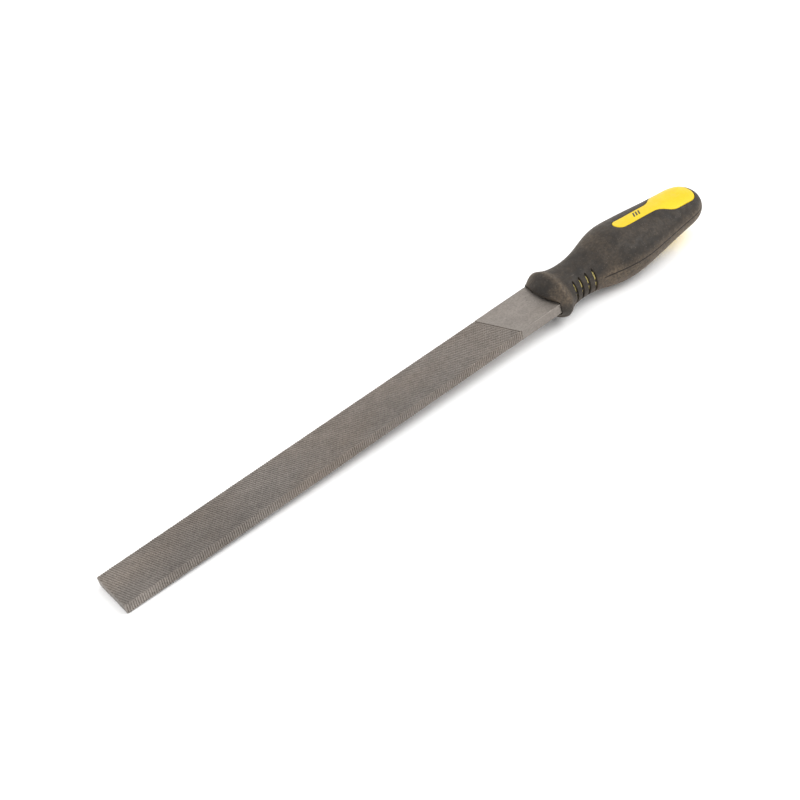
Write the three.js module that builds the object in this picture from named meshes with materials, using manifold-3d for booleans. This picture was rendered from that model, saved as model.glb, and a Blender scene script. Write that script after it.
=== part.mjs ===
// A hand flat file: a forged steel blade with a tapered tang, pushed into a two-part moulded handle.
// Millimetres. +X runs from the tip towards the butt of the handle and +Z is square to the blade's
// face. The origin is the centre of the blade's end face at the tip.
// Every x below is measured from the blade's shoulder, which sits just inside the handle's mouth.
import * as THREE from 'three';
import { mergeVertices } from 'three/addons/utils/BufferGeometryUtils.js';
import Module from 'manifold-3d';

// Blade
const BLADE_LENGTH = 250; // nominal length, from the tip to the shoulder
const BLADE_WIDTH = 25;
const BLADE_THICKNESS = 5.1;
const HEEL_TAPER_START = -8; // the blade thins slightly from here to its shoulder
const HEEL_THICKNESS = 4.9;
const SHOULDER_DEPTH = 1.2; // the shoulder slopes down to the tang over this length
const TANG_LENGTH = 62;
const TANG_ROOT_WIDTH = 11.2;
const TANG_END_WIDTH = 4;
const TANG_END_THICKNESS = 3;
const TANG_POINT = 2; // the tang's end is drawn down over this length

// Handle, as half-widths and half-heights of its oval section along X
const MOUTH_X = -6.2;
const MOUTH_HALF_WIDTH = 12.9;
const MOUTH_HALF_HEIGHT = 4.05;
const MOUTH_BULGE = 1.2; // the middle of the mouth stands this far ahead of its ends
const NOSE_ROUNDNESS = 1.4; // exponent of the guard's nose in side view: 1 is a cone, 2 an ellipse
const GUARD_X = 0.5;
const SQUARENESS = 2.1; // exponent of every oval section: 2 is an ellipse, higher is squarer
const BUTT_START_X = 85; // the rounded butt begins here
const BUTT_X = 98.5;
const BUTT_ROUNDNESS = 2.7;
const STATIONS = [
  // x, half-width, half-height
  [GUARD_X, 14.9, 11.5],
  [3, 13.7, 10.7],
  [7, 11.5, 9.9],
  [12, 10.75, 9.5],
  [17, 10.9, 9.55],
  [25, 12.3, 10.75],
  [35, 15.25, 13.25],
  [44, 17.0, 13.5],
  [51, 17.2, 12.5],
  [59, 16.4, 11.7],
  [73, 14.35, 10.3],
  [BUTT_START_X, 12.7, 9.5],
];
const RIM_SEGMENTS = 36;
const NOSE_RINGS = 5;
const BODY_RINGS = 22;
const BUTT_RINGS = 6;

// The moulded parts
const GRIP_WALL = 1.6; // thickness of the rubber over the core
const CORE_FRONT_X = 1.8;
const CORE_NECK_X = 7; // ahead of this the core keeps its size while the guard flares
const GAP = 0.3; // between two parts that are moulded or pushed together

// Long spoon-shaped land of the core that shows through the rubber, above and below
const LAND_START_X = 45.5;
const LAND_STRIP_HALF = 3.75;
const LAND_FLARE_X = 67.7;
const LAND_BOWL_X = 80;
const LAND_BOWL_HALF = 8.85;
const LAND_BOWL_END_X = 87.2;
const LAND_END_X = 94.5;
const LAND_END_HALF = 1.5;
const LAND_SINK = 0.15; // the land lies this far below the rubber
const LAND_ROOT_Z = 3;

// Finger grooves: slots through the rubber on both sides of the neck
const GROOVE_COUNT = 4;
const GROOVE_FIRST_X = 8.3;
const GROOVE_PITCH = 4.05;
const GROOVE_WIDTH = 1.9;
const GROOVE_HALF_ANGLE = THREE.MathUtils.degToRad(38);
const GROOVE_INNER_RADIUS = 5.5;
const GROOVE_OUTER_RADIUS = 20;
const ARC_SEGMENTS = 8;

const STEEL = new THREE.MeshStandardMaterial({ color: 0x77726f, roughness: 0.45, metalness: 0.9 });
const YELLOW = new THREE.MeshStandardMaterial({ color: 0xf5dc1e, roughness: 0.4, metalness: 0 });
const RUBBER = new THREE.MeshStandardMaterial({ color: 0x2e2b29, roughness: 0.7, metalness: 0 });

const TINY = 1e-4; // two points nearer than this are the same point
const POLE_RADIUS = 0.01; // a ring smaller than this is a point on the axis

const wasm = await Module();
wasm.setup();

// Turns a closed geometry into a solid that can be joined and cut.
function solidOf(geometry) {
  const bare = geometry.clone();
  bare.deleteAttribute('normal');
  bare.deleteAttribute('uv');
  const merged = mergeVertices(bare, TINY);
  return new wasm.Manifold(new wasm.Mesh({
    numProp: 3,
    vertProperties: new Float32Array(merged.attributes.position.array),
    triVerts: new Uint32Array(merged.index.array),
  }));
}

function meshOf(solid, name, material) {
  const cut = solid.getMesh();
  const geometry = new THREE.BufferGeometry();
  geometry.setAttribute('position', new THREE.BufferAttribute(cut.vertProperties, 3));
  geometry.setIndex(new THREE.BufferAttribute(cut.triVerts, 1));
  geometry.computeVertexNormals();
  const mesh = new THREE.Mesh(geometry, material);
  mesh.name = name;
  return mesh;
}

// Extrudes an outline drawn in plan (X, Y) from zLow up to zHigh.
function planPrism(shape, zLow, zHigh) {
  const options = { depth: zHigh - zLow, bevelEnabled: false, curveSegments: ARC_SEGMENTS };
  return solidOf(new THREE.ExtrudeGeometry(shape, options).translate(0, 0, zLow));
}

// Extrudes an outline drawn in side view (X, Z) across Y, centred on the middle plane.
function sidePrism(shape, width) {
  const options = { depth: width, bevelEnabled: false, curveSegments: ARC_SEGMENTS };
  const geometry = new THREE.ExtrudeGeometry(shape, options);
  return solidOf(geometry.translate(0, 0, -width / 2).rotateX(Math.PI / 2));
}

// An outline that is the same on both sides of the X axis, from its upper points in order.
function mirroredShape(points) {
  const upper = points.map(([x, half]) => new THREE.Vector2(x, half));
  const lower = points.map(([x, half]) => new THREE.Vector2(x, -half)).reverse();
  return new THREE.Shape([...upper, ...lower]);
}

// The tang, grown by a clearance all round: the same shape makes the tang and its socket.
function tangPlan(clearance) {
  const end = TANG_LENGTH + clearance;
  return [
    [SHOULDER_DEPTH, TANG_ROOT_WIDTH / 2 + clearance],
    [end - TANG_POINT, TANG_END_WIDTH / 2 + clearance],
    [end, TANG_END_WIDTH / 4 + clearance],
  ];
}

function tangSide(clearance) {
  return [
    [0, HEEL_THICKNESS / 2 + clearance],
    [TANG_LENGTH + clearance, TANG_END_THICKNESS / 2 + clearance],
  ];
}

function bladeSolid() {
  const plan = mirroredShape([
    [-BLADE_LENGTH, BLADE_WIDTH / 2],
    [0, BLADE_WIDTH / 2],
    ...tangPlan(0),
  ]);
  const side = mirroredShape([
    [-BLADE_LENGTH, BLADE_THICKNESS / 2],
    [HEEL_TAPER_START, BLADE_THICKNESS / 2],
    ...tangSide(0),
  ]);
  return planPrism(plan, -BLADE_THICKNESS, BLADE_THICKNESS).intersect(sidePrism(side, 2 * BLADE_WIDTH));
}

// The handle's profile as a curve whose points hold x, half-width and half-height.
const profileCurve = new THREE.CatmullRomCurve3(
  STATIONS.map(([x, halfWidth, halfHeight]) => new THREE.Vector3(x, halfWidth, halfHeight)),
  false,
  'centripetal',
);

function ovalRing(x, halfWidth, halfHeight) {
  return { x, halfWidth, halfHeight, bulge: 0 };
}

// The rings of the guard's rounded nose, from the mouth up to its crest.
function noseRings() {
  const [, guardHalfWidth, guardHalfHeight] = STATIONS[0];
  const rings = [];
  for (let i = 0; i < NOSE_RINGS; i += 1) {
    const angle = (Math.PI / 2) * (i / NOSE_RINGS);
    const rise = Math.sin(angle) ** (2 / NOSE_ROUNDNESS);
    const back = 1 - Math.cos(angle) ** (2 / NOSE_ROUNDNESS);
    const ring = ovalRing(
      THREE.MathUtils.lerp(MOUTH_X, GUARD_X, back),
      THREE.MathUtils.lerp(MOUTH_HALF_WIDTH, guardHalfWidth, rise),
      THREE.MathUtils.lerp(MOUTH_HALF_HEIGHT, guardHalfHeight, rise),
    );
    rings.push({ ...ring, bulge: MOUTH_BULGE * (1 - rise) });
  }
  return rings;
}

// The rings from the guard's crest to the butt, for a skin that lies inside the handle by the inset.
function bodyRings(inset) {
  const rings = [];
  for (let i = 0; i <= BODY_RINGS; i += 1) {
    const point = profileCurve.getPoint(i / BODY_RINGS);
    rings.push(ovalRing(point.x, point.y - inset, point.z - inset));
  }
  const [before, start] = rings.slice(-2);
  const widthSlope = (start.halfWidth - before.halfWidth) / (start.x - before.x);
  const heightSlope = (start.halfHeight - before.halfHeight) / (start.x - before.x);
  for (let i = 1; i <= BUTT_RINGS; i += 1) {
    const travel = Math.sin((Math.PI / 2) * (i / BUTT_RINGS));
    const shrink = (1 - travel ** BUTT_ROUNDNESS) ** (1 / BUTT_ROUNDNESS);
    const step = (BUTT_X - inset - BUTT_START_X) * travel;
    const halfWidth = (start.halfWidth + widthSlope * step) * shrink;
    const halfHeight = (start.halfHeight + heightSlope * step) * shrink;
    rings.push(ovalRing(BUTT_START_X + step, halfWidth, halfHeight));
  }
  return rings;
}

// A body inside the handle's skin: it keeps the neck's size forward of the neck, inside the guard.
function insideSolid(inset, frontX) {
  const rings = bodyRings(inset).filter((ring) => ring.x >= CORE_NECK_X);
  return ovalSolid([{ ...rings[0], x: frontX }, ...rings]);
}

// Lathes the rings' half-widths about the X axis, then presses each ring into its own oval.
function ovalSolid(rings) {
  const open = rings.filter((ring) => ring.halfWidth > POLE_RADIUS);
  const last = rings[rings.length - 1];
  const profile = open.map((ring) => new THREE.Vector2(ring.halfWidth, ring.x));
  profile.unshift(new THREE.Vector2(0, rings[0].x));
  profile.push(new THREE.Vector2(0, last.x));
  const geometry = new THREE.LatheGeometry(profile, RIM_SEGMENTS);
  const place = geometry.attributes.position;
  for (let i = 0; i < place.count; i += 1) {
    const alongX = place.getY(i);
    const radius = Math.hypot(place.getX(i), place.getZ(i));
    const ring = rings.find((candidate) => Math.abs(candidate.x - alongX) < TINY);
    const angle = Math.atan2(place.getX(i), place.getZ(i));
    const y = radius * roundedPower(Math.cos(angle), 2 / SQUARENESS);
    const flatten = ring.halfHeight / Math.max(ring.halfWidth, POLE_RADIUS);
    const z = radius * flatten * roundedPower(Math.sin(angle), 2 / SQUARENESS);
    place.setXYZ(i, alongX + ring.bulge * (y / MOUTH_HALF_WIDTH) ** 2, y, z);
  }
  return solidOf(geometry);
}

function roundedPower(value, power) {
  return Math.abs(value) < TINY ? 0 : Math.sign(value) * Math.abs(value) ** power;
}

// The plan of the spoon-shaped land, grown by a clearance all round.
function landShape(clearance) {
  const strip = LAND_STRIP_HALF + clearance;
  const bowl = LAND_BOWL_HALF + clearance;
  const startX = LAND_START_X + LAND_STRIP_HALF;
  const endX = LAND_END_X + clearance;
  const middleX = (LAND_FLARE_X + LAND_BOWL_X) / 2;
  const shape = new THREE.Shape();
  shape.absarc(startX, 0, strip, Math.PI / 2, 1.5 * Math.PI, false);
  shape.lineTo(LAND_FLARE_X, -strip);
  shape.bezierCurveTo(middleX, -strip, middleX, -bowl, LAND_BOWL_X, -bowl);
  shape.lineTo(LAND_BOWL_END_X, -bowl);
  shape.quadraticCurveTo(endX, -bowl, endX, -LAND_END_HALF);
  shape.lineTo(endX, LAND_END_HALF);
  shape.quadraticCurveTo(endX, bowl, LAND_BOWL_END_X, bowl);
  shape.lineTo(LAND_BOWL_X, bowl);
  shape.bezierCurveTo(middleX, bowl, middleX, strip, LAND_FLARE_X, strip);
  shape.closePath();
  return shape;
}

// Both lands, or both windows for them, as prisms above and below the middle plane.
function landPrisms(clearance) {
  const shape = landShape(clearance);
  const reach = BLADE_WIDTH;
  return planPrism(shape, LAND_ROOT_Z, reach).add(planPrism(shape, -reach, -LAND_ROOT_Z));
}

// The tapered hole that the tang is driven into.
function socketSolid() {
  const plan = mirroredShape([[-SHOULDER_DEPTH, TANG_ROOT_WIDTH / 2 + GAP], ...tangPlan(GAP)]);
  const side = mirroredShape(tangSide(GAP));
  return planPrism(plan, -BLADE_WIDTH, BLADE_WIDTH).intersect(sidePrism(side, BLADE_WIDTH));
}

function coreSolid() {
  const body = insideSolid(GRIP_WALL + GAP, CORE_FRONT_X);
  const lands = insideSolid(LAND_SINK, CORE_NECK_X).intersect(landPrisms(0));
  return body.add(lands).subtract(socketSolid());
}

// One finger groove: a fan-shaped slab across the side of the neck.
function grooveSolid(x, side) {
  const middle = side > 0 ? 0 : Math.PI;
  const low = middle - GROOVE_HALF_ANGLE;
  const high = middle + GROOVE_HALF_ANGLE;
  const fan = new THREE.Shape();
  fan.absarc(0, 0, GROOVE_OUTER_RADIUS, low, high, false);
  fan.absarc(0, 0, GROOVE_INNER_RADIUS, high, low, true);
  fan.closePath();
  const options = { depth: GROOVE_WIDTH, bevelEnabled: false, curveSegments: ARC_SEGMENTS };
  const geometry = new THREE.ExtrudeGeometry(fan, options).translate(0, 0, -GROOVE_WIDTH / 2);
  geometry.applyMatrix4(new THREE.Matrix4().makeBasis(
    new THREE.Vector3(0, 1, 0),
    new THREE.Vector3(0, 0, 1),
    new THREE.Vector3(1, 0, 0),
  ));
  return solidOf(geometry.translate(x, 0, 0));
}

function gripSolid() {
  const pocketPlan = mirroredShape([
    [2 * MOUTH_X, BLADE_WIDTH / 2 + GAP],
    [CORE_FRONT_X, BLADE_WIDTH / 2 + GAP],
  ]);
  const pocketHalf = BLADE_THICKNESS / 2 + GAP;
  let grip = ovalSolid([...noseRings(), ...bodyRings(0)])
    .subtract(insideSolid(GRIP_WALL, CORE_FRONT_X - GAP))
    .subtract(planPrism(pocketPlan, -pocketHalf, pocketHalf))
    .subtract(landPrisms(GAP));
  for (let i = 0; i < GROOVE_COUNT; i += 1) {
    const x = GROOVE_FIRST_X + i * GROOVE_PITCH;
    grip = grip.subtract(grooveSolid(x, 1)).subtract(grooveSolid(x, -1));
  }
  return grip;
}

const handle = new THREE.Group();
handle.add(meshOf(coreSolid(), 'handle_core', YELLOW));
handle.add(meshOf(gripSolid(), 'handle_grip', RUBBER));

// The parts are drawn about the shoulder, and the file is then placed with its tip at the origin.
const file = new THREE.Group();
file.add(meshOf(bladeSolid(), 'file_blade', STEEL), handle);
file.position.x = BLADE_LENGTH;

export default file;
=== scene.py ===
"""A hand flat file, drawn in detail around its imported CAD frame.

The blade's teeth are cut as real grooves, and the two-part moulded handle is rebuilt finely.
Lengths are in millimetres and x is measured from the blade's shoulder, until a mesh is made:
mesh_object() turns them into metres in the row's frame, whose origin is the tip.
"""
import math

import bmesh
import bpy
import numpy as np
from mathutils import Matrix, Vector


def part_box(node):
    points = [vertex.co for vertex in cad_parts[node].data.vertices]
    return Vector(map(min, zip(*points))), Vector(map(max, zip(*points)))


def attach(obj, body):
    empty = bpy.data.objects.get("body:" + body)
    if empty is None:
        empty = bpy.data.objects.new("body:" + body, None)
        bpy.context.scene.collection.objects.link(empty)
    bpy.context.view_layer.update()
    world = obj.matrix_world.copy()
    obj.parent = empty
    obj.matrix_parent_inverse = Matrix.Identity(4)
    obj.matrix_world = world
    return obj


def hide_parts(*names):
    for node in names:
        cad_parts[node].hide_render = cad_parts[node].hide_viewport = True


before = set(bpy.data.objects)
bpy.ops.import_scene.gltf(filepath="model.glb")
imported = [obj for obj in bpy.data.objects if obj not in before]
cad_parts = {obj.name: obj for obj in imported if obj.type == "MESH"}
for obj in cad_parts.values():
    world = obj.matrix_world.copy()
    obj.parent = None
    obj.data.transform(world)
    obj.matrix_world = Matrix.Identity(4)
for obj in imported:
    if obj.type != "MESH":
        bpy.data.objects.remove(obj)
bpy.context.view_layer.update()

MM = 0.001
MERGE = 1e-7  # metres: points of a new mesh that are nearer than this become one
WELD = 2e-6  # metres: the same for the blade once its teeth are cut

# Blade, from the CAD node where it can be read
blade_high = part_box("file_blade")[1]
BLADE_LENGTH = 250.0
HALF_WIDTH = blade_high.y / MM
HALF_THICKNESS = blade_high.z / MM
TANG_LENGTH = blade_high.x / MM - BLADE_LENGTH
TANG_ROOT_HALF_WIDTH = 5.6
TANG_END_HALF_WIDTH = 2.0
TANG_ROOT_HALF_THICK = 2.45
TANG_END_HALF_THICK = 1.5
TANG_TIP_LENGTH = 2.0
TANG_TIP_SHARE = 0.7  # thickness left at the very end
EDGE_CHAMFER = 0.09
SHOULDER = [
    # x, half-width, half-thickness: it thins, rounds its corners and runs into the tang by a fillet
    (-8.0, HALF_WIDTH, HALF_THICKNESS),
    (-1.0, HALF_WIDTH, TANG_ROOT_HALF_THICK),
    (-0.35, HALF_WIDTH - 0.3, TANG_ROOT_HALF_THICK),
    (0.0, HALF_WIDTH - 0.9, TANG_ROOT_HALF_THICK),
    (1.0, TANG_ROOT_HALF_WIDTH + 1.2, TANG_ROOT_HALF_THICK),
    (1.5, TANG_ROOT_HALF_WIDTH + 0.3, TANG_ROOT_HALF_THICK),
    (2.6, TANG_ROOT_HALF_WIDTH, TANG_ROOT_HALF_THICK - 0.05),
]

# Teeth
CREST = 0.07  # flat left on top of each tooth
FLANK_SHARE = 0.92  # the part of a gap taken by its gentle flank; the steep face of a tooth has the rest
CUTTER_HEIGHT = 0.6  # how far a cutter stands out of the surface it cuts
SKIM = 0.002  # a cutter's edges lie this far off the surface, so that no two faces coincide
UPCUT = {"angle": 72.4, "pitch": 1.10, "depth": 0.30}
OVERCUT = {"angle": -50.0, "pitch": 1.06, "depth": 0.26}
EDGE_CUT = {"lean": 0.08, "pitch": 1.096, "depth": 0.30}
FACE_CUT_END = -32.9  # where the face's cut ends on the blade's centre line
FACE_CUT_SLANT = 1 / math.tan(math.radians(UPCUT["angle"]))  # and how far it slants for each mm of y
EDGE_CUT_END = -28.6
FACE_CUT_OVERRUN = 1.5  # how far cutters run past the sides
EDGE_CUT_OVERRUN = 1.0
OVERCUT_EXCESS = 14.0  # the second set is made this much too long, and a block trims it on the slant
TRIM_OVERRUN = 3.0
TRIM_LEAD = 5.0
TRIM_HEIGHTS = (0.4, 1.6)  # in half-thicknesses

# Handle skin: half-widths and half-heights of its oval section along x
MOUTH_X = -6.2
MOUTH_HALF_WIDTH = 13.0
MOUTH_HALF_HEIGHT = 4.05
MOUTH_BULGE = 2.2
NOSE_ROUNDNESS = 1.4
SQUARENESS = 2.1
MOUTH_SQUARENESS = 7.0  # the mouth is a rounded rectangle, and the nose soon turns oval behind it
SQUARENESS_FADE = 6
BUTT_START_X = 85.0
BUTT_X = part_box("handle_grip")[1].x / MM - BLADE_LENGTH
BUTT_ROUNDNESS = 2.7
STATIONS = np.array([
    # x, half-width, half-height
    (0.5, 14.9, 11.5),
    (3.0, 13.7, 10.7),
    (7.0, 11.5, 9.9),
    (12.0, 10.75, 9.5),
    (17.0, 10.9, 9.55),
    (25.0, 12.3, 10.75),
    (35.0, 15.25, 13.25),
    (44.0, 17.0, 13.5),
    (51.0, 17.2, 12.5),
    (59.0, 16.4, 11.7),
    (73.0, 14.35, 10.3),
    (BUTT_START_X, 12.7, 9.5),
])
BUTT_GAP = 0.002  # the last ring stops short of the end, where it would shrink to a point
RING_STEP = 0.55
ROUND_STEPS = 26  # rings over the nose, and as many over the butt
RIM_COLUMNS = 152
INNER_COLUMNS = 72
CORE_COLUMNS = 96
SEAM_START_X = 24.0
SEAM_FADE_IN = 1.5
SEAM_FADE_OUT = 2.0
SEAM_DEPTH = 0.3
SEAM_HALF_ANGLE = 0.014
SEAM_NEIGHBOURS = (-2.2, -1, 1, 2.2)  # points beside the seam, in units of its half-angle

# Moulded parts
GRIP_WALL = 1.4
CORE_INSET = 1.45
CORE_FRONT_X = 1.8
CORE_NECK_X = 7.0
CAVITY_LEAD = 0.1  # the grip's cavity starts this far ahead of the core

# Pocket for the heel, and the socket for the tang
POCKET_CLEARANCE = 0.4
POCKET_HEADROOM = 0.7  # the clearance above and below the blade
POCKET_CORNER = 0.6
POCKET_POINT_STEP = 0.7
POCKET_OVERLAP = 0.2  # how far its cutter reaches into the cavity
LIP_RADIUS = 0.25
LIP_SKIM = 0.01
LIP_SPREAD = 0.2  # the cutter widens by this outside the lip
LIP_LEAD = 0.8
NOSE_HALVINGS = 40
SOCKET_CLEARANCE = 0.15
SOCKET_CHAMFER = 0.15
SOCKET_SPARE = 0.5  # room beyond the end of the tang
SOCKET_LEAD = 1.0

# Spoon-shaped land of the core and the window it fills
LAND_START_X = 45.5
LAND_STRIP_HALF = 3.75
LAND_FLARE_X = 67.7
LAND_BOWL_X = 80.0
LAND_BOWL_HALF = 8.85
LAND_BOWL_END_X = 87.2
LAND_END_X = 94.5
LAND_END_HALF = 1.5
LAND_PROUD = 0.06  # how far it stands above the rubber
LAND_EDGE_RADIUS = 0.35
LAND_ROOT_Z = 3.0
WINDOW_CLEARANCE = 0.18
WINDOW_EDGE_RADIUS = 0.25
WINDOW_SKIM = 0.004
WINDOW_SPREAD = 0.3  # the cutter widens by this outside the rim
WINDOW_RISE = 0.6

# Finger grooves
GROOVE_XS = [8.3 + 4.05 * i for i in range(4)]
GROOVE_HALF_WIDTH = 0.65
GROOVE_FLOOR_SHARE = 0.7  # of the half-width
GROOVE_FLOOR_RISE = 0.2
GROOVE_DEPTH = 2.1
GROOVE_EDGE_RADIUS = 0.28
GROOVE_HALF_ANGLE = math.radians(42)
GROOVE_STEPS = 61
GROOVE_FULLNESS = 3.5  # how long the groove keeps its depth before it runs out
GROOVE_RUNOUT = 0.8
GROOVE_END_DEPTH = 0.02  # keeps its ends from closing to nothing
GROOVE_END_WIDTH = 0.3  # share of the width that is left at its ends
GROOVE_SKIM = 0.004
GROOVE_SPREAD = 0.25  # the cutter widens by this outside the groove's edge
GROOVE_RISE = 1.2
TIE_ANGLE = math.radians(4.5)  # the groove is shallow where a tie crosses it at the seam
TIE_DEPTH = 0.75

# Colours
STEEL_WARM = (0.275, 0.239, 0.209)
STEEL_COOL = (0.264, 0.239, 0.218)
STEEL_HEEL = (0.256, 0.234, 0.213)
STEEL_DARK_TONE = (0.10, 0.085, 0.07)
SCALE_DARK = (0.07, 0.068, 0.07)
SCALE_BROWN = (0.12, 0.095, 0.08)
RUBBER_BLACK = (0.0150, 0.0122, 0.0100)
# Brown of both the rubber's dust and its painted light.
RUBBER_DUST_AND_PAINTED_LIGHT = (0.135, 0.099, 0.066)
RUBBER_SPECK = (0.13, 0.112, 0.095)
# Where brown painted light lies: a painted reflection on the swell and painted light along the guard's
# crest.
PAINTED_LIGHT_SWELL_X = 31.0
PAINTED_LIGHT_CREST_X = 1.6
YELLOW_DEEP = (0.62, 0.435, 0.001)
YELLOW_BRIGHT = (0.66, 0.475, 0.002)
YELLOW_GRIME = (0.42, 0.37, 0.16)
# Paler yellow, painted light on the shaded floors of the finger grooves.
GROOVE_PAINTED_LIGHT = (0.72, 0.68, 0.40)
INK = (0.035, 0.03, 0.02)
FLOOR_DARK = (0.95, 0.95, 0.95)
FLOOR_LIGHT = (0.97, 0.97, 0.97)

# Print on the upper land
MARK_X = 60.8
MARK_Y = 0.5
MARK_PITCH = 1.7
MARK_SLANT = 0.55
MARK_HALF_HEIGHT = 1.7

# Floor and lights: metres and watts
FLOOR_HALF = 4.0
FLOOR_GAP = 0.0003
SWELL_CONTACT_X = 0.29  # where the handle's swell rests on the floor
STUDIO_STRENGTH = 1.2
LIGHT_SIZE = 0.8
LIGHT_AIM = (0.17, 0, 0)
KEY_PLACE = (0.95, -0.65, 0.9)
KEY_POWER = 9
FILL_PLACE = (-0.3, -0.5, 1.2)
FILL_POWER = 2

# Camera: metres, degrees and millimetres of lens
CAMERA_AIM = (0.1559, -0.00125, 0.0)
CAMERA_DISTANCE = 0.6897
CAMERA_ANGLES = (27.36, 38.0, -16.8)  # azimuth, elevation, roll
CAMERA_LENS = 68.18
CAMERA_SENSOR = 36.0
CAMERA_CLIP_START = 0.01

# Shading is smooth across edges that turn by less than this
STEEL_SMOOTH_DEGREES = 12
MOULD_SMOOTH_DEGREES = 38


# ---------------------------------------------------------------- meshes

def mesh_object(name, points, faces):
    """A closed mesh object from points in millimetres measured from the shoulder."""
    metres = (np.asarray(points, float) + (BLADE_LENGTH, 0, 0)) * MM
    mesh = bpy.data.meshes.new(name)
    mesh.from_pydata(metres.tolist(), [], faces)
    shape = bmesh.new()
    shape.from_mesh(mesh)
    bmesh.ops.remove_doubles(shape, verts=shape.verts, dist=MERGE)
    bmesh.ops.recalc_face_normals(shape, faces=shape.faces)
    shape.to_mesh(mesh)
    shape.free()
    piece = bpy.data.objects.new(name, mesh)
    bpy.context.scene.collection.objects.link(piece)
    return piece


def walls(count, columns):
    """Four-sided faces between neighbouring rings of a loft."""
    faces = []
    for i in range(count - 1):
        low, high = i * columns, (i + 1) * columns
        for j in range(columns):
            k = (j + 1) % columns
            faces.append((low + j, low + k, high + k, high + j))
    return faces


def loft(rings):
    """Points and faces of a solid through rings of equal length, with a fan closing each end."""
    rings = np.asarray(rings, float)
    count, columns = rings.shape[:2]
    points = list(rings.reshape(-1, 3))
    faces = walls(count, columns)
    for start, ring in ((0, rings[0]), ((count - 1) * columns, rings[-1])):
        points.append(ring.mean(axis=0))
        centre = len(points) - 1
        for j in range(columns):
            faces.append((start + j, start + (j + 1) % columns, centre))
    return points, faces


def join(parts):
    """One list of points and one of faces from several solids that don't touch."""
    points, faces = [], []
    for part_points, part_faces in parts:
        shift = len(points)
        points.extend(part_points)
        faces.extend(tuple(i + shift for i in face) for face in part_faces)
    return points, faces


def combine(piece, tool, operation):
    """Cuts or joins piece with tool, bakes the result into its mesh and throws the tool away."""
    modifier = piece.modifiers.new("combine", "BOOLEAN")
    modifier.operation = operation
    modifier.solver = "MANIFOLD"
    modifier.object = tool
    seen = piece.evaluated_get(bpy.context.evaluated_depsgraph_get())
    mesh = bpy.data.meshes.new_from_object(seen)
    piece.modifiers.clear()
    old = piece.data
    piece.data = mesh
    bpy.data.meshes.remove(old)
    bpy.data.objects.remove(tool)


def weld_slivers(piece):
    """Melts away the faces thinner than WELD that many crossing cuts leave."""
    shape = bmesh.new()
    shape.from_mesh(piece.data)
    bmesh.ops.remove_doubles(shape, verts=shape.verts, dist=WELD)
    bmesh.ops.dissolve_degenerate(shape, edges=shape.edges, dist=WELD)
    shape.to_mesh(piece.data)
    shape.free()


def smooth_below(piece, degrees):
    """Smooth shading, kept sharp at edges that turn by more than the given angle."""
    shape = bmesh.new()
    shape.from_mesh(piece.data)
    for face in shape.faces:
        face.smooth = True
    for edge in shape.edges:
        edge.smooth = edge.calc_face_angle(0.0) < math.radians(degrees)
    shape.to_mesh(piece.data)
    shape.free()


def finish_piece(piece, body, node, material):
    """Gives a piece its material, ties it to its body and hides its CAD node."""
    piece.data.materials.clear()
    piece.data.materials.append(material)
    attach(piece, body)
    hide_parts(node)


# ---------------------------------------------------------------- blade

def chamfered_ring(x, half_width, half_thick, chamfer):
    """An eight-sided section of the blade at x."""
    w, t, c = half_width, half_thick, chamfer
    corners = [(w, t - c), (w - c, t), (c - w, t), (-w, t - c),
               (-w, c - t), (c - w, -t), (w - c, -t), (w, c - t)]
    return [(x, y, z) for y, z in corners]


def blade_blank():
    """The uncut blade: a flat bar, its shoulder and a tang that tapers to a blunt point."""
    sections = [
        (-BLADE_LENGTH, HALF_WIDTH - EDGE_CHAMFER, HALF_THICKNESS - EDGE_CHAMFER),
        (-BLADE_LENGTH + EDGE_CHAMFER, HALF_WIDTH, HALF_THICKNESS),
        *SHOULDER,
        (TANG_LENGTH - TANG_TIP_LENGTH, TANG_END_HALF_WIDTH, TANG_END_HALF_THICK),
        (TANG_LENGTH, TANG_END_HALF_WIDTH / 2, TANG_END_HALF_THICK * TANG_TIP_SHARE),
    ]
    rings = [chamfered_ring(*section, EDGE_CHAMFER) for section in sections]
    return mesh_object("cut_blade", *loft(rings))


def groove_prism(start, along, across, up, pitch, depth):
    """A closed cutter for one tooth gap: a gentle flank, then a steep one that faces the tip."""
    start, along, across, up = (np.array(v, float) for v in (start, along, across, up))
    gap = pitch - CREST
    section = [(0.0, SKIM), (gap * FLANK_SHARE, -depth), (gap, SKIM),
               (gap, CUTTER_HEIGHT), (0.0, CUTTER_HEIGHT)]
    rings = [
        [start + end + across * a + up * h for a, h in section]
        for end in (np.zeros(3), along)
    ]
    return loft(rings)


def face_cut(cut, side, end_x):
    """Cutters for one set of parallel grooves over a whole face: side is 1 on top, -1 below."""
    angle = math.radians(cut["angle"])
    along = np.array((math.cos(angle), -math.sin(angle), 0.0))
    if along[1] > 0:
        along = -along
    across = np.array((-along[1], along[0], 0.0))
    step = cut["pitch"] / across[0]
    reach = HALF_WIDTH + FACE_CUT_OVERRUN
    length = 2 * reach / abs(along[1])
    last = end_x - step
    count = int((last + BLADE_LENGTH) / step + 2 * abs(along[0] / along[1]) * reach / step) + 2
    flip = np.array((1.0, side, side))
    prisms = []
    for i in range(count):
        middle = np.array((last - i * step, 0.0, HALF_THICKNESS))
        start = (middle - along * length / 2) * flip
        prisms.append(groove_prism(
            start, along * length * flip, across * flip, (0, 0, side), cut["pitch"], cut["depth"]
        ))
    return prisms


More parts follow.
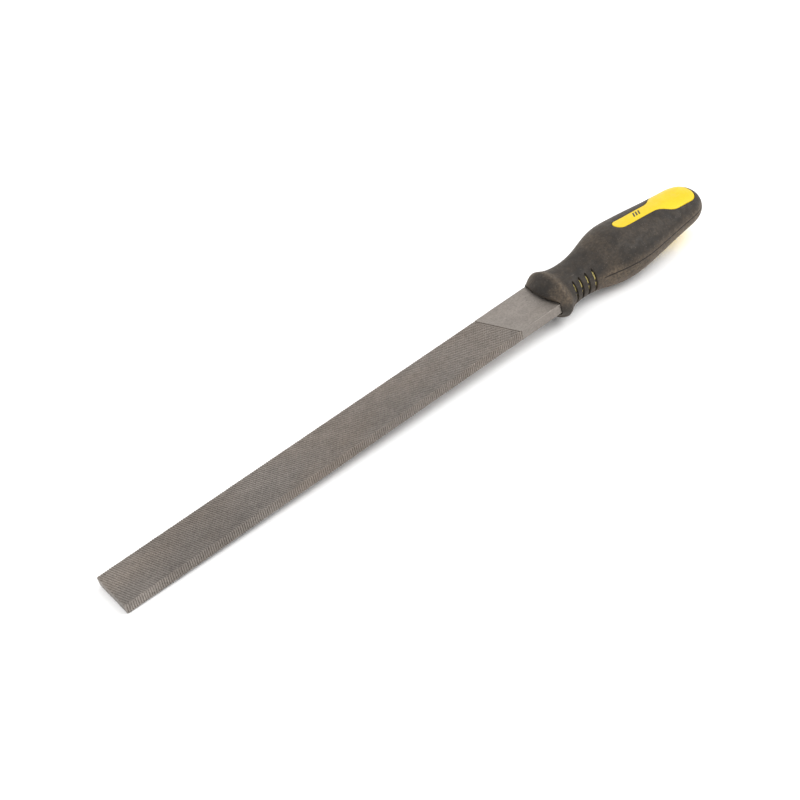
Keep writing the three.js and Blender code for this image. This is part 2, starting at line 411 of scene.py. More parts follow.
def edge_cut(side):
    """Cutters for the single row of teeth along one narrow edge of the blade."""
    pitch = EDGE_CUT["pitch"]
    reach = HALF_THICKNESS + EDGE_CUT_OVERRUN
    lean = EDGE_CUT["lean"] * side
    along = np.array((-2 * reach * lean, 0.0, 2 * reach))
    prisms = []
    for i in range(int((BLADE_LENGTH + EDGE_CUT_END) / pitch) + 1):
        start = (EDGE_CUT_END - (i + 1) * pitch + reach * lean, side * HALF_WIDTH, -reach)
        prisms.append(groove_prism(start, along, (1, 0, 0), (0, side, 0), pitch, EDGE_CUT["depth"]))
    return prisms


def trim_block(side):
    """A block over one face of the blade, ending on the slanted line where its cut ends."""
    reach = HALF_WIDTH + TRIM_OVERRUN
    start = -BLADE_LENGTH - TRIM_LEAD
    near = FACE_CUT_END + side * reach * FACE_CUT_SLANT
    far = FACE_CUT_END - side * reach * FACE_CUT_SLANT
    plan = [(start, -reach), (near, -reach), (far, reach), (start, reach)]
    heights = sorted(side * HALF_THICKNESS * share for share in TRIM_HEIGHTS)
    return loft([[(x, y, z) for x, y in plan] for z in heights])


def cut_blade():
    """The blade with two crossing sets of grooves on each face and one set on each narrow edge."""
    blade = blade_blank()
    upcut = face_cut(UPCUT, 1, FACE_CUT_END) + face_cut(UPCUT, -1, FACE_CUT_END)
    combine(blade, mesh_object("upcut", *join(upcut)), "DIFFERENCE")
    for side in (1, -1):
        grooves = face_cut(OVERCUT, side, FACE_CUT_END + OVERCUT_EXCESS)
        overcut = mesh_object("overcut", *join(grooves))
        combine(overcut, mesh_object("trim_block", *trim_block(side)), "INTERSECT")
        combine(blade, overcut, "DIFFERENCE")
    combine(blade, mesh_object("edge_cut", *join(edge_cut(1) + edge_cut(-1))), "DIFFERENCE")
    return blade


# ---------------------------------------------------------------- handle skin

def spline(xs, ys, first_slope):
    """A smooth cubic through the points, with a set slope at its start, as a function of x."""
    gaps = np.diff(xs)
    slopes = np.diff(ys) / gaps
    matrix = np.zeros((len(xs), len(xs)))
    right = np.zeros(len(xs))
    matrix[0, :2] = 2 * gaps[0], gaps[0]
    right[0] = 6 * (slopes[0] - first_slope)
    for i in range(1, len(xs) - 1):
        matrix[i, i - 1:i + 2] = gaps[i - 1], 2 * (gaps[i - 1] + gaps[i]), gaps[i]
        right[i] = 6 * (slopes[i] - slopes[i - 1])
    matrix[-1, -1] = 1
    bend = np.linalg.solve(matrix, right)

    def value(x):
        i = np.clip(np.searchsorted(xs, x) - 1, 0, len(gaps) - 1)
        low, high, gap = xs[i + 1] - x, x - xs[i], gaps[i]
        return (
            (bend[i] * low**3 + bend[i + 1] * high**3) / (6 * gap)
            + (ys[i] / gap - bend[i] * gap / 6) * low
            + (ys[i + 1] / gap - bend[i + 1] * gap / 6) * high
        )

    return value


half_width_at = spline(STATIONS[:, 0], STATIONS[:, 1], 0.0)
half_height_at = spline(STATIONS[:, 0], STATIONS[:, 2], 0.0)


def half_sizes(x, inset=0.0):
    """Half-width and half-height of the skin, or of a skin that lies inside it by the inset."""
    body_x = np.minimum(x, BUTT_START_X)
    beyond = np.maximum(x - BUTT_START_X, 0.0)
    travel = np.clip(beyond / (BUTT_X - inset - BUTT_START_X), 0.0, 1.0)
    shrink = (1 - travel**BUTT_ROUNDNESS) ** (1 / BUTT_ROUNDNESS)
    sizes = []
    for size_at in (half_width_at, half_height_at):
        end_slope = size_at(BUTT_START_X) - size_at(BUTT_START_X - 1)
        sizes.append((size_at(body_x) - inset + end_slope * beyond) * shrink)
    return sizes


def signed_power(values, power):
    """The power of each value's size, with the value's own sign."""
    return np.sign(values) * np.abs(values) ** power


def oval(x, half_width, half_height, angles, bulge=0.0, squareness=SQUARENESS):
    """Points round one oval section; bulge carries its two ends backwards."""
    y = half_width * signed_power(np.cos(angles), 2 / squareness)
    z = half_height * signed_power(np.sin(angles), 2 / squareness)
    return np.stack([x + bulge * (y / MOUTH_HALF_WIDTH) ** 2, y, z], axis=-1)


def nose_section(angle):
    """x, half-sizes, bulge and squareness of the nose: 0 at the mouth, a right angle at its crest."""
    rise = np.sin(angle) ** (2 / NOSE_ROUNDNESS)
    back = 1 - np.cos(angle) ** (2 / NOSE_ROUNDNESS)
    x = MOUTH_X + (STATIONS[0, 0] - MOUTH_X) * back
    half_width = MOUTH_HALF_WIDTH + (STATIONS[0, 1] - MOUTH_HALF_WIDTH) * rise
    half_height = MOUTH_HALF_HEIGHT + (STATIONS[0, 2] - MOUTH_HALF_HEIGHT) * rise
    squareness = SQUARENESS + (MOUTH_SQUARENESS - SQUARENESS) * (1 - rise) ** SQUARENESS_FADE
    return x, half_width, half_height, MOUTH_BULGE * (1 - rise), squareness


def skin_xs(start_x, end_x, inset):
    """Stations along the handle that crowd together over its rounded butt."""
    body = np.arange(start_x, BUTT_START_X, RING_STEP)
    travel = np.sin(np.linspace(0, math.pi / 2, ROUND_STEPS))
    butt = BUTT_START_X + (end_x - inset - BUTT_START_X) * travel
    return np.concatenate([body, butt[:-1], [end_x - inset - BUTT_GAP]])


def rim_angles():
    """Angles round the section, with extra ones beside the moulding seam on each side."""
    even = np.linspace(0, 2 * math.pi, RIM_COLUMNS, endpoint=False)
    beside = [k * SEAM_HALF_ANGLE for k in SEAM_NEIGHBOURS]
    seam = [middle + offset for middle in (0, math.pi) for offset in beside]
    return np.unique(np.mod(np.concatenate([even, seam]), 2 * math.pi))


def outer_skin():
    """Rings of the rubber's outside from its mouth to its butt, with the seam pressed in."""
    angles = rim_angles()
    rings = []
    for angle in np.linspace(0, math.pi / 2, ROUND_STEPS)[:-1]:
        x, half_width, half_height, bulge, squareness = nose_section(angle)
        rings.append(oval(x, half_width, half_height, angles, bulge, squareness))
    on_seam = np.isclose(np.mod(angles, math.pi), 0.0, atol=1e-6)
    for x in skin_xs(STATIONS[0, 0], BUTT_X, 0.0):
        ring = oval(x, *half_sizes(x), angles)
        depth = SEAM_DEPTH * np.clip((x - SEAM_START_X) / SEAM_FADE_IN, 0, 1)
        depth *= np.clip((BUTT_X - x) / SEAM_FADE_OUT, 0, 1)
        ring[on_seam, 1] -= np.sign(ring[on_seam, 1]) * depth
        rings.append(ring)
    return rings


def inner_skin(inset, front_x, columns):
    """The skin of a body inside the handle: ahead of the neck it keeps the neck's size."""
    angles = np.linspace(0, 2 * math.pi, columns, endpoint=False)
    rings = [oval(front_x, *half_sizes(CORE_NECK_X, inset), angles)]
    for x in skin_xs(CORE_NECK_X, BUTT_X, inset):
        rings.append(oval(x, *half_sizes(x, inset), angles))
    return rings


def skin_height(x, y):
    """Height of the skin above a point of the plan."""
    half_width, half_height = half_sizes(x)
    share = np.clip(np.abs(y / half_width), 0, 1) ** SQUARENESS
    return half_height * (1 - share) ** (1 / SQUARENESS)


# ---------------------------------------------------------------- land and window

def bezier(p0, p1, p2, p3, share):
    """Points of a cubic curve at the given shares of the way along it."""
    p0, p1, p2, p3 = (np.array(p, float) for p in (p0, p1, p2, p3))
    t = share[:, None]
    return (1 - t)**3 * p0 + 3 * (1 - t)**2 * t * p1 + 3 * (1 - t) * t**2 * p2 + t**3 * p3


def lengthwise(start_x, end_x, y, count):
    """Points along x at one y, leaving out the first."""
    return np.stack([np.linspace(start_x, end_x, count + 1)[1:], np.full(count, y)], axis=1)


def outline_normals(outline):
    """Outward unit normals of a closed outline that runs clockwise seen from above."""
    tangent = np.roll(outline, -1, axis=0) - np.roll(outline, 1, axis=0)
    tangent /= np.linalg.norm(tangent, axis=1)[:, None]
    return np.stack([-tangent[:, 1], tangent[:, 0]], axis=1)


def land_outline(offset):
    """The plan of the spoon-shaped land, grown by the offset, as points round it."""
    strip, bowl = LAND_STRIP_HALF, LAND_BOWL_HALF
    turn = np.linspace(math.pi / 2, math.pi, 14)
    start = np.stack([LAND_START_X + strip + strip * np.cos(turn), strip * np.sin(turn)], axis=1)[::-1]
    straight = lengthwise(LAND_START_X + strip, LAND_FLARE_X, strip, 39)
    share = np.linspace(0, 1, 24)[1:]
    middle = (LAND_FLARE_X + LAND_BOWL_X) / 2
    flare = bezier((LAND_FLARE_X, strip), (middle, strip), (middle, bowl), (LAND_BOWL_X, bowl), share)
    side = lengthwise(LAND_BOWL_X, LAND_BOWL_END_X, bowl, 15)
    first = np.array((LAND_BOWL_END_X, bowl))
    corner = np.array((LAND_END_X, bowl))
    last = np.array((LAND_END_X, LAND_END_HALF))
    curve = bezier(first, (first + 2 * corner) / 3, (last + 2 * corner) / 3, last, share)
    end = np.stack([np.full(8, LAND_END_X), np.linspace(LAND_END_HALF, 0, 9)[1:]], axis=1)
    upper = np.concatenate([start, straight, flare, side, curve, end])
    outline = np.concatenate([upper, upper[-2:0:-1] * (1, -1)])
    return outline + outline_normals(outline) * offset


def plan_ring(plan, heights):
    """A ring of points over the plan, at one height or a height for each."""
    return np.concatenate([plan, np.broadcast_to(heights, len(plan))[:, None]], axis=1)


def land_solid(side):
    """One land, standing up from the core, with a rounded top edge and a top that follows the skin."""
    radius = LAND_EDGE_RADIUS
    rings = [plan_ring(land_outline(0.0), LAND_ROOT_Z)]
    for turn in np.linspace(0, math.pi / 2, 6):
        plan = land_outline(-radius * (1 - math.cos(turn)))
        drop = radius * (1 - math.sin(turn)) - LAND_PROUD
        rings.append(plan_ring(plan, skin_height(plan[:, 0], plan[:, 1]) - drop))
    rim = land_outline(-radius)
    spine = rim.copy()
    spine[:, 0] = np.clip(rim[:, 0], LAND_START_X + LAND_STRIP_HALF, LAND_BOWL_END_X)
    spine[:, 1] = 0.0
    for share in np.linspace(0, 1, 9)[1:]:
        plan = rim + (spine - rim) * share
        rings.append(plan_ring(plan, skin_height(plan[:, 0], plan[:, 1]) + LAND_PROUD))
    return close_on_spine(rings, side)


def close_on_spine(rings, side):
    """Faces through rings whose last one has folded flat onto a line, and a flat face below."""
    rings = np.asarray(rings, float)
    count, columns = rings.shape[:2]
    floor = tuple(range(columns))
    return rings.reshape(-1, 3) * (1, 1, side), [floor, *walls(count, columns)]


def window_cutter(side):
    """The hole in the grip that a land fills, with a rounded rim."""
    radius = WINDOW_EDGE_RADIUS
    rings = [plan_ring(land_outline(WINDOW_CLEARANCE), LAND_ROOT_Z)]
    for turn in np.linspace(0, math.pi / 2, 7):
        plan = land_outline(WINDOW_CLEARANCE + radius * (1 - math.cos(turn)))
        drop = radius * (1 - math.sin(turn)) - WINDOW_SKIM * math.sin(turn)
        rings.append(plan_ring(plan, skin_height(plan[:, 0], plan[:, 1]) - drop))
    outside = land_outline(WINDOW_CLEARANCE + radius + WINDOW_SPREAD)
    rings.append(plan_ring(outside, skin_height(outside[:, 0], outside[:, 1]) + WINDOW_RISE))
    rings.append(plan_ring(outside, 2 * STATIONS[:, 2].max()))
    points, faces = loft(rings)
    return np.array(points) * (1, 1, side), faces


# ---------------------------------------------------------------- grooves and mouth

def groove_section(share, turn):
    """Half of a finger groove's section as (distance from its middle, depth).

    The share is how much of its depth is left there, and the turn runs from -1 to 1 along the groove.
    """
    tie = math.exp(-((turn * GROOVE_HALF_ANGLE / TIE_ANGLE) ** 4))
    depth = (GROOVE_DEPTH - (GROOVE_DEPTH - TIE_DEPTH) * tie) * share
    radius = min(GROOVE_EDGE_RADIUS, depth)
    half = GROOVE_HALF_WIDTH * (GROOVE_END_WIDTH + (1 - GROOVE_END_WIDTH) * share)
    wall_foot = max(depth - GROOVE_FLOOR_RISE, radius)
    points = [(0.0, depth), (half * GROOVE_FLOOR_SHARE, depth), (half, wall_foot)]
    for roll in np.linspace(0, math.pi / 2, 5):
        lip_depth = radius * (1 - math.sin(roll)) - GROOVE_SKIM
        points.append((half + radius * (1 - math.cos(roll)), lip_depth))
    points.append((half + radius + GROOVE_SPREAD, -GROOVE_RISE))
    return points


def groove_cutter(x, side):
    """A cutter for one finger groove, bent round the section of the handle."""
    rings = []
    for turn in np.linspace(-1, 1, GROOVE_STEPS):
        share = max(1 - abs(turn) ** GROOVE_FULLNESS, GROOVE_END_DEPTH) ** GROOVE_RUNOUT
        half_section = groove_section(share, turn)
        mirrored = [(-a, depth) for a, depth in half_section[::-1][:-1]]
        angle = turn * GROOVE_HALF_ANGLE + (0 if side > 0 else math.pi)
        ring = []
        for a, depth in half_section + mirrored:
            point = oval(x + a, *half_sizes(x + a), np.array([angle]))[0]
            out = point[1:] / np.linalg.norm(point[1:])
            ring.append((point[0], *(point[1:] - out * depth)))
        rings.append(ring)
    return loft(rings)


def nose_x(y, z):
    """x of the guard's nose ahead of a point of the cross-section."""
    low, high = 0.0, math.pi / 2
    for _ in range(NOSE_HALVINGS):
        angle = (low + high) / 2
        _, half_width, half_height, _, squareness = nose_section(angle)
        inside = abs(y / half_width) ** squareness + abs(z / half_height) ** squareness < 1
        low, high = (low, angle) if inside else (angle, high)
    x, _, _, bulge, _ = nose_section(high)
    return x + bulge * (y / MOUTH_HALF_WIDTH) ** 2


def pocket_outline():
    """The pocket's rounded-rectangular section as closely spaced (y, z) points."""
    half_y = HALF_WIDTH + POCKET_CLEARANCE - POCKET_CORNER
    half_z = HALF_THICKNESS + POCKET_HEADROOM - POCKET_CORNER
    points = []
    for quarter, (sy, sz) in enumerate(((1, 1), (-1, 1), (-1, -1), (1, -1))):
        for turn in np.linspace(0, math.pi / 2, 7) + quarter * math.pi / 2:
            points.append((sy * half_y + POCKET_CORNER * math.cos(turn),
                           sz * half_z + POCKET_CORNER * math.sin(turn)))
    dense = []
    for (y0, z0), (y1, z1) in zip(points, points[1:] + points[:1]):
        pieces = max(1, round(math.hypot(y1 - y0, z1 - z0) / POCKET_POINT_STEP))
        dense.extend((y0 + (y1 - y0) * i / pieces, z0 + (z1 - z0) * i / pieces) for i in range(pieces))
    return dense


def mouth_cutter():
    """The pocket that the heel of the blade sits in, with a rounded lip where it leaves the nose."""
    base = pocket_outline()
    rings = [[(CORE_FRONT_X + POCKET_OVERLAP, y, z) for y, z in base]]
    for turn in np.linspace(0, math.pi / 2, 6):
        wider = grown(base, LIP_RADIUS * (1 - math.cos(turn)))
        depth = LIP_RADIUS * (1 - math.sin(turn)) - LIP_SKIM * math.sin(turn)
        rings.append([(nose_x(y, z) + depth, y, z) for y, z in wider])
    widest = grown(base, LIP_RADIUS + LIP_SPREAD)
    rings.append([(nose_x(y, z) - LIP_LEAD, y, z) for y, z in widest])
    rings.append([(2 * MOUTH_X, y, z) for y, z in widest])
    return loft(rings)


def grown(outline, distance):
    """The points of an anticlockwise outline, moved outwards."""
    outline = np.array(outline)
    return outline - outline_normals(outline) * distance


# ---------------------------------------------------------------- handle pieces

def grip_overmould():
    """The rubber: a hollow skin, opened by the mouth, the windows and the finger grooves."""
    grip = mesh_object("grip_overmould", *loft(outer_skin()))
    cavity = inner_skin(GRIP_WALL, CORE_FRONT_X - CAVITY_LEAD, INNER_COLUMNS)
    combine(grip, mesh_object("cavity", *loft(cavity)), "DIFFERENCE")
    combine(grip, mesh_object("mouth", *mouth_cutter()), "DIFFERENCE")
    for side in (1, -1):
        combine(grip, mesh_object("window", *window_cutter(side)), "DIFFERENCE")
    grooves = [groove_cutter(x, side) for x in GROOVE_XS for side in (1, -1)]
    combine(grip, mesh_object("grooves", *join(grooves)), "DIFFERENCE")
    return grip


def tang_socket():
    """The blind tapered hole that the tang is driven into."""
    sections = [
        (CORE_FRONT_X - SOCKET_LEAD, TANG_ROOT_HALF_WIDTH, TANG_ROOT_HALF_THICK),
        (TANG_LENGTH - TANG_TIP_LENGTH, TANG_END_HALF_WIDTH, TANG_END_HALF_THICK),
        (TANG_LENGTH + SOCKET_SPARE, TANG_END_HALF_WIDTH, TANG_END_HALF_THICK),
    ]
    return loft([
        chamfered_ring(x, half_width + SOCKET_CLEARANCE, half_thick + SOCKET_CLEARANCE, SOCKET_CHAMFER)
        for x, half_width, half_thick in sections
    ])


def core_moulding():
    """The yellow core with a land on each face and the socket for the tang."""
    core = mesh_object("core_moulding", *loft(inner_skin(CORE_INSET, CORE_FRONT_X, CORE_COLUMNS)))
    for side in (1, -1):
        combine(core, mesh_object("land", *land_solid(side)), "UNION")
    combine(core, mesh_object("socket", *tang_socket()), "DIFFERENCE")
    return core


# ---------------------------------------------------------------- materials

class Graph:
    """Builds one material out of nodes. Sizes are in millimetres, x is measured from the shoulder."""

    def __init__(self, name):
        self.material = bpy.data.materials.new(name)
        self.material.use_nodes = True
        self.tree = self.material.node_tree
        self.shader = self.tree.nodes["Principled BSDF"]
        place = self.add("ShaderNodeTexCoord").outputs["Object"]
        self.place = self.vector("MULTIPLY", place, (1 / MM, 1 / MM, 1 / MM))
        parts = self.add("ShaderNodeSeparateXYZ")
        self.feed(parts.inputs[0], self.place)
        self.x = self.maths("SUBTRACT", parts.outputs[0], BLADE_LENGTH)
        self.y, self.z = parts.outputs[1:3]

    def add(self, kind, **settings):
        node = self.tree.nodes.new(kind)
        for name, value in settings.items():
            setattr(node, name, value)
        return node

    def feed(self, socket, value):
        """Links another node's output to a socket, or sets the socket to a fixed value."""
        if isinstance(value, bpy.types.NodeSocket):
            self.tree.links.new(value, socket)
        elif isinstance(value, tuple) and len(value) == 3 and socket.type == "RGBA":
            socket.default_value = (*value, 1)
        else:
            socket.default_value = value

    def maths(self, operation, *values):
        """One calculation on single numbers. The four methods below are its commonest uses."""
        node = self.add("ShaderNodeMath", operation=operation)
        for socket, value in zip(node.inputs, values):
            self.feed(socket, value)
        return node.outputs[0]

    def plus(self, first, second):
        return self.maths("ADD", first, second)

    def minus(self, first, second):
        return self.maths("SUBTRACT", first, second)

    def times(self, first, second):
        return self.maths("MULTIPLY", first, second)

    def absolute(self, value):
        return self.maths("ABSOLUTE", value)

    def shade(self, color, factor):
        """The colour multiplied by a factor."""
        return self.mix(1.0, color, factor, "MULTIPLY")

    def vector(self, operation, *values):
        node = self.add("ShaderNodeVectorMath", operation=operation)
        for socket, value in zip(node.inputs, values):
            self.feed(socket, value)
        return node.outputs[0]

    def noise(self, size, detail=2.0, stretch=(1, 1, 1), shift=0.0):
        """Noise from 0 to 1 whose blobs are about the given size, longer where stretch is bigger."""
        scale = tuple(1 / (size * s) for s in stretch)
        moved = self.vector("ADD", self.place, (shift, shift, shift))
        node = self.add("ShaderNodeTexNoise")
        self.feed(node.inputs["Vector"], self.vector("MULTIPLY", moved, scale))
        self.feed(node.inputs["Scale"], 1.0)
        self.feed(node.inputs["Detail"], detail)
        return node.outputs["Fac"]

    def ramp(self, value, start, end, low=0.0, high=1.0):
        """A smooth step from low to high as the value goes from start to end."""
        node = self.add("ShaderNodeMapRange", interpolation_type="SMOOTHSTEP")
        for socket, number in zip(node.inputs, (value, start, end, low, high)):
            self.feed(socket, number)
        return node.outputs[0]

    def mix(self, share, first, second, blend="MIX"):
        """The first colour with a share of the second one, from 0 to 1."""
        node = self.add("ShaderNodeMix", data_type="RGBA", blend_type=blend)
        self.feed(node.inputs[0], share)
        self.feed(node.inputs[6], first)
        self.feed(node.inputs[7], second)
        return node.outputs[2]

    def bump(self, height, depth, under=None):
        """Relief of the given depth in millimetres, on top of an earlier relief."""
        node = self.add("ShaderNodeBump")
        self.feed(node.inputs["Height"], height)
        self.feed(node.inputs["Distance"], depth * MM)
        if under:
            self.feed(node.inputs["Normal"], under)
        return node.outputs[0]

    def finish(self, color, roughness, normal, **others):
        """Feeds the shader; other inputs are named with _ for each space."""
        self.feed(self.shader.inputs["Base Color"], color)
        self.feed(self.shader.inputs["Roughness"], roughness)
        self.feed(self.shader.inputs["Normal"], normal)
        for name, value in others.items():
            self.feed(self.shader.inputs[name.replace("_", " ")], value)
        return self.material


def steel_material():
    """Bare file steel: dark gullets between the teeth, a ground heel and a scaly tang."""
    g = Graph("file_steel")
    side = g.maths("SIGN", g.z)
    face_end = g.plus(g.x, g.times(g.times(g.y, side), FACE_CUT_SLANT))
    edge = g.ramp(g.absolute(g.y), HALF_WIDTH - 0.6, HALF_WIDTH - 0.1)
    face_share = g.ramp(face_end, FACE_CUT_END + 0.4, FACE_CUT_END - 0.4)
    edge_share = g.ramp(g.x, EDGE_CUT_END + 0.2, EDGE_CUT_END - 0.2)
    cut = g.ramp(edge, 0.0, 1.0, face_share, edge_share)
    patches = g.ramp(g.noise(26, 3, (2, 1, 1)), 0.3, 0.7)
    color = g.mix(patches, STEEL_WARM, STEEL_COOL)
    lighter_rear = g.ramp(g.x, -110.0, -40.0, 1.0, 1.1)
    # Painted shade: the heel grows darker towards the handle's mouth.
    painted_mouth_shade = g.ramp(g.x, -26.0, -12.0, 1.0, 0.92)
    # A band near the tip is darker.
    near_tip_band = g.times(g.ramp(g.x, -246.0, -220.0), g.ramp(g.x, -170.0, -192.0))
    darker_near_tip_band = g.ramp(near_tip_band, 0.0, 1.0, 1.0, 0.86)
    # Painted light: away from the heel, the far side of the blade is lighter and the near side darker, as
    # light falls across it.
    across = g.times(g.y, g.ramp(g.x, -45.0, -70.0))
    painted_side_light = g.ramp(across, -11.0, 11.0, 0.94, 1.06)
    for tone in (lighter_rear, painted_mouth_shade, darker_near_tip_band, painted_side_light):
        color = g.shade(color, tone)
    color = g.mix(cut, g.mix(0.6, color, STEEL_HEEL), color)
    blotches = g.ramp(g.noise(5, 3, (1.5, 1, 1), shift=40), 0.3, 0.7, 0.93, 1.06)
    grain = g.ramp(g.noise(0.9, 3), 0.25, 0.75, g.ramp(cut, 0.0, 1.0, 0.92, 0.82), 1.16)
    specks = g.ramp(g.noise(0.9, 2, shift=15), 0.66, 0.74, 1.0, 0.72)
    for tone in (blotches, grain, specks):
        color = g.shade(color, tone)
    depth = g.minus(HALF_THICKNESS, g.absolute(g.z))
    # Darker towards the bottoms of the tooth gaps, less so near the tip.
    gullet = g.times(g.ramp(depth, 0.05, 0.35, 0.0, 0.28), cut)
    gullet = g.times(gullet, g.ramp(g.x, -250.0, -130.0, 0.25, 1.0))
    color = g.mix(gullet, color, STEEL_DARK_TONE)
    # Painted light and shade on the narrow edges: lighter where they are cut, darker along the heel.
    edge_painted_light = g.ramp(cut, 0.0, 1.0, 0.85, 1.3)
    color = g.mix(edge, color, g.shade(color, edge_painted_light))
    tip = g.ramp(g.x, 0.25 - BLADE_LENGTH, 0.05 - BLADE_LENGTH)
    color = g.mix(g.times(tip, 0.12), color, STEEL_DARK_TONE)
    tang = g.ramp(g.plus(g.x, g.ramp(g.noise(4, 3), 0.0, 1.0, -2.0, 2.0)), -0.5, 3.0)
    scale = g.mix(g.ramp(g.noise(3, 4, shift=70), 0.4, 0.6), SCALE_DARK, SCALE_BROWN)
    color = g.mix(tang, color, scale)
    rough = g.ramp(g.noise(1.6, 3, shift=9), 0.3, 0.7, 0.46, 0.6)
    rough = g.plus(rough, g.times(tang, 0.15))
    scratches = g.noise(0.22, 2, (1, 60, 60), shift=5)
    relief = g.bump(scratches, 0.012)
    relief = g.bump(g.noise(0.5, 3), 0.02, relief)
    return g.finish(color, rough, relief, Metallic=g.ramp(tang, 0.0, 1.0, 1.0, 0.5))


def rubber_material():
    """Matt black rubber with random brown dust, and brown painted light on its swell, below its seam, along
    the guard's crest and on the sides of its nose.
    """
    g = Graph("black_rubber")
    upward = g.ramp(g.z, -1.5, 3.0)
    behind_grooves = g.ramp(g.x, SEAM_START_X, SEAM_START_X + 2)
    patches = g.ramp(g.noise(16, 2, (1.6, 1, 1), shift=3), 0.45, 0.75)
    # Brown painted light: a painted reflection on the swell, painted bounce light below the seam, and
    # painted light on the upper crest and the upper sides of the nose. The noise patches are dust.
    swell = g.ramp(g.absolute(g.minus(g.x, PAINTED_LIGHT_SWELL_X)), 8.0, 1.0)
    crest = g.ramp(g.absolute(g.minus(g.x, PAINTED_LIGHT_CREST_X)), 3.2, 0.6)
    cheeks = g.times(g.ramp(g.absolute(g.y), 4.0, 11.0), g.ramp(g.x, 4.0, -1.0))
    below = g.times(g.ramp(g.z, 4.5, 0.0), g.ramp(g.x, 15.0, 25.0))
    dust_and_painted_light = g.ramp(g.noise(4, 4, shift=21), 0.35, 0.75, 0.0, 0.12)
    zones = (
        (patches, 0.14), (swell, 0.16), (below, 0.36),
        (g.times(crest, upward), 0.26), (g.times(cheeks, upward), 0.34),
    )
    for place, amount in zones:
        dust_and_painted_light = g.plus(dust_and_painted_light, g.times(place, amount))
    dust_and_painted_light = g.times(dust_and_painted_light, g.ramp(g.noise(1.1, 3, shift=33), 0.3, 0.7, 0.45, 1.25))
    # The dust and the painted light are kept off a band along the seam, which stays black as painted shade
    # in its groove.
    seam = g.times(g.ramp(g.absolute(g.z), 0.5, 0.15), behind_grooves)
    dust_and_painted_light = g.times(dust_and_painted_light, g.ramp(seam, 0.0, 1.0, 1.0, 0.05))
    color = g.mix(dust_and_painted_light, RUBBER_BLACK, RUBBER_DUST_AND_PAINTED_LIGHT)
    specks = g.ramp(g.noise(0.7, 2, shift=8), 0.64, 0.72, 0.0, 0.4)
    color = g.mix(specks, color, RUBBER_SPECK)
    rough = g.ramp(g.noise(2.5, 3, shift=50), 0.3, 0.7, 0.55, 0.72)
    relief = g.bump(g.noise(0.35, 3), 0.035)
    relief = g.bump(g.noise(2.2, 2, shift=60), 0.03, relief)
    return g.finish(color, rough, relief, Specular_IOR_Level=0.3, Sheen_Weight=0.08,
                    Sheen_Roughness=0.45, Sheen_Tint=(1.0, 0.78, 0.56))


def ink_mask(g):
    """Three slanted strokes printed on the upper land."""
    along = g.minus(g.x, MARK_X)
    across = g.minus(g.y, MARK_Y)
    slanted = g.minus(along, g.times(across, MARK_SLANT))
    step = g.maths("DIVIDE", slanted, MARK_PITCH)
    nearest = g.minus(step, g.maths("ROUND", step))
    stroke = g.ramp(g.absolute(nearest), 0.31, 0.26)
    ends = g.ramp(g.absolute(across), MARK_HALF_HEIGHT + 0.06, MARK_HALF_HEIGHT - 0.06)
    row = g.ramp(g.absolute(step), 1.55, 1.45)
    mask = g.times(g.times(stroke, ends), row)
    return g.times(mask, g.ramp(g.z, 0.0, 1.0))


def plastic_material():
    """Yellow moulded plastic with one dark print and painted light that makes it paler where it shows in
    the finger grooves.
    """
    g = Graph("yellow_plastic")
    clouds = g.ramp(g.noise(9, 3), 0.3, 0.7)
    color = g.mix(clouds, YELLOW_DEEP, YELLOW_BRIGHT)
    grain = g.ramp(g.noise(0.6, 2, shift=12), 0.25, 0.75, 0.95, 1.04)
    color = g.shade(color, grain)
    smears = g.ramp(g.noise(2.5, 4, (2, 1, 1), shift=27), 0.58, 0.8, 0.0, 0.18)
    color = g.mix(smears, color, YELLOW_GRIME)
    # Painted light: the core is paler and lighter where it shows in the shaded finger grooves.
    grooves = g.ramp(g.x, SEAM_START_X + 2, SEAM_START_X, 0.0, 0.5)
    color = g.mix(grooves, color, GROOVE_PAINTED_LIGHT)
    worn = g.ramp(g.noise(0.5, 2, shift=90), 0.25, 0.5, 0.75, 1.0)
    color = g.mix(g.times(ink_mask(g), worn), color, INK)
    rough = g.ramp(g.noise(1.8, 3, shift=5), 0.3, 0.7, 0.36, 0.5)
    relief = g.bump(g.noise(0.3, 2), 0.012)
    return g.finish(color, rough, relief, Specular_IOR_Level=0.35)


def floor_material():
    """Nearly white paper."""
    g = Graph("floor_paper")
    color = g.mix(g.ramp(g.noise(60, 3), 0.3, 0.7), FLOOR_DARK, FLOOR_LIGHT)
    return g.finish(color, 0.95, g.bump(g.noise(1.5, 3), 0.02), Specular_IOR_Level=0.1)


# ---------------------------------------------------------------- stage

def add_camera():
    """A camera that looks down along the file towards the handle."""
    azimuth, elevation, roll = (math.radians(a) for a in CAMERA_ANGLES)
    look = Vector((math.sin(azimuth) * math.cos(elevation),
                   math.cos(azimuth) * math.cos(elevation), -math.sin(elevation)))
    data = bpy.data.cameras.new("camera")
    data.sensor_width = CAMERA_SENSOR
    data.lens = CAMERA_LENS
    data.clip_start = CAMERA_CLIP_START
    camera = bpy.data.objects.new("camera", data)
    camera.matrix_world = (
        Matrix.Translation(Vector(CAMERA_AIM) - look * CAMERA_DISTANCE)
        @ look.to_track_quat("-Z", "Y").to_matrix().to_4x4()
        @ Matrix.Rotation(roll, 4, "Z")
    )
    bpy.context.scene.collection.objects.link(camera)
    bpy.context.scene.camera = camera


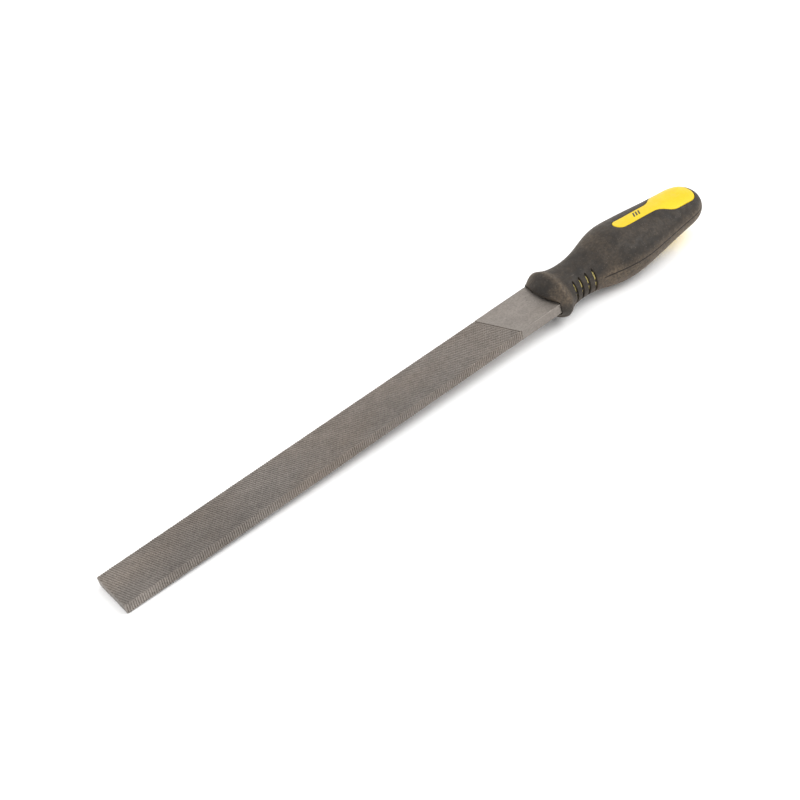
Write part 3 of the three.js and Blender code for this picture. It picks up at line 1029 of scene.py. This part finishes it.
def add_light(name, place, power):
    """A square soft light that points at the middle of the file."""
    data = bpy.data.lights.new(name, "AREA")
    data.shape = "SQUARE"
    data.size = LIGHT_SIZE
    data.energy = power
    light = bpy.data.objects.new(name, data)
    light.location = place
    light.rotation_mode = "QUATERNION"
    light.rotation_quaternion = (Vector(LIGHT_AIM) - Vector(place)).to_track_quat("-Z", "Y")
    bpy.context.scene.collection.objects.link(light)


def add_stage():
    """A pale floor that the file rests on: the tip's lower edge and the handle's swell touch it."""
    swell_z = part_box("handle_grip")[0].z
    tip_z = -HALF_THICKNESS * MM
    tilt = math.atan2(tip_z - swell_z, SWELL_CONTACT_X)
    signs = ((-1, -1), (1, -1), (1, 1), (-1, 1))
    corners = [(FLOOR_HALF * sx, FLOOR_HALF * sy, 0) for sx, sy in signs]
    mesh = bpy.data.meshes.new("floor")
    mesh.from_pydata(corners, [], [(0, 1, 2, 3)])
    floor = bpy.data.objects.new("floor", mesh)
    place = Matrix.Translation((0, 0, tip_z - FLOOR_GAP))
    floor.matrix_world = place @ Matrix.Rotation(tilt, 4, "Y")
    mesh.materials.append(floor_material())
    bpy.context.scene.collection.objects.link(floor)


def add_lighting():
    """A white studio, a main light beyond the butt and a weak one ahead of the tip, both on the -Y side."""
    world = bpy.data.worlds.new("studio")
    world.use_nodes = True
    background = world.node_tree.nodes["Background"]
    background.inputs["Color"].default_value = (1, 1, 1, 1)
    background.inputs["Strength"].default_value = STUDIO_STRENGTH
    bpy.context.scene.world = world
    add_light("key", KEY_PLACE, KEY_POWER)
    add_light("fill", FILL_PLACE, FILL_POWER)
    bpy.context.scene.view_settings.view_transform = "Standard"


blade = cut_blade()
weld_slivers(blade)
smooth_below(blade, STEEL_SMOOTH_DEGREES)
grip = grip_overmould()
smooth_below(grip, MOULD_SMOOTH_DEGREES)
core = core_moulding()
smooth_below(core, MOULD_SMOOTH_DEGREES)
finish_piece(blade, "blade", "file_blade", steel_material())
finish_piece(core, "handle", "handle_core", plastic_material())
finish_piece(grip, "handle", "handle_grip", rubber_material())
add_stage()
add_lighting()
add_camera()
